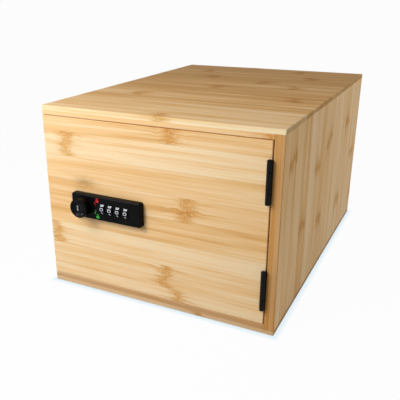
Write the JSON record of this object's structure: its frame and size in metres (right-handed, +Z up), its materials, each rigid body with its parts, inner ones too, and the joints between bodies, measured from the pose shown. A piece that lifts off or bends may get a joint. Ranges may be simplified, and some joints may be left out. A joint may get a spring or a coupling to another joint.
{
  "type": "liquor bottle lock box",
  "caption": "Low bamboo cabinet for bottles lying down, with a side-hinged front door and a combination lock with a key override.",
  "frame": {"origin": "middle of the base, on the face that the box stands on", "axes": "+X to the right as seen from the front, -Y out of the door, +Z up"},
  "size_m": [0.305, 0.4446, 0.238],
  "materials": {
    "bamboo": "pale honey bamboo, clear satin lacquer",
    "black_steel": "black powder coat",
    "black_zinc": "satin black lacquer on die-cast zinc",
    "black_plastic": "moulded black plastic with white digits",
    "steel": "zinc plated",
    "brass": "turned"
  },
  "bodies": {
    "cabinet": {"top_board": "bamboo", "bottom_board": "bamboo", "left_board": "bamboo", "right_board": "bamboo", "back_board": "bamboo", "upper_frame_leaf": "black_steel", "lower_frame_leaf": "black_steel", "upper_hinge_pin": "black_steel", "lower_hinge_pin": "black_steel", "frame_leaf_screws": "black_steel", "strike_plate": "black_steel", "strike_screws": "steel"},
    "door": {"door_panel": "bamboo", "upper_door_leaf": "black_steel", "lower_door_leaf": "black_steel", "door_leaf_screws": "black_steel", "lock_housing": "black_zinc", "lock_cover": "black_steel", "cover_screws": "steel", "mounting_screws": "steel", "dial_axle": "steel", "code_sleeve_1": "brass", "code_sleeve_2": "brass", "code_sleeve_3": "brass", "code_sleeve_4": "brass", "detent_spring": "steel"},
    "cam_knob": {"knob": "black_zinc", "spindle": "steel", "lock_cam": "steel", "cam_washer": "steel", "cam_screw": "steel"},
    "plug": {"key_plug": "steel"},
    "dial_1": {"dial_wheel_1": "black_plastic"},
    "dial_2": {"dial_wheel_2": "black_plastic"},
    "dial_3": {"dial_wheel_3": "black_plastic"},
    "dial_4": {"dial_wheel_4": "black_plastic"},
    "bar": {"locking_bar": "steel"}
  },
  "joints": [
    {"name": "door_swing", "type": "hinge", "parent": "cabinet", "child": "door", "pos_m": [0.13815, -0.2162, 0.119], "axis": [0, 0, 1], "range_deg": [0, 200]},
    {"name": "knob_turn", "type": "hinge", "parent": "door", "child": "cam_knob", "pos_m": [-0.094, -0.213, 0.119], "axis": [0, -1, 0], "range_deg": [0, 90]},
    {"name": "key_plug_turn", "type": "hinge", "parent": "cam_knob", "child": "plug", "pos_m": [-0.094, -0.213, 0.119], "axis": [0, -1, 0], "range_deg": [0, 90]},
    {"name": "dial_1_turn", "type": "hinge", "parent": "door", "child": "dial_1", "pos_m": [-0.066, -0.2142, 0.119], "axis": [1, 0, 0], "continuous": true},
    {"name": "dial_2_turn", "type": "hinge", "parent": "door", "child": "dial_2", "pos_m": [-0.055, -0.2142, 0.119], "axis": [1, 0, 0], "continuous": true},
    {"name": "dial_3_turn", "type": "hinge", "parent": "door", "child": "dial_3", "pos_m": [-0.044, -0.2142, 0.119], "axis": [1, 0, 0], "continuous": true},
    {"name": "dial_4_turn", "type": "hinge", "parent": "door", "child": "dial_4", "pos_m": [-0.033, -0.2142, 0.119], "axis": [1, 0, 0], "continuous": true},
    {"name": "bar_slide", "type": "slide", "parent": "door", "child": "bar", "axis": [1, 0, 0], "range_m": [0, 0.0019]}
  ],
  "couplings": [
    {"joint": "bar_slide", "follows": "knob_turn", "m_per_rad": 0.0012096}
  ]
}
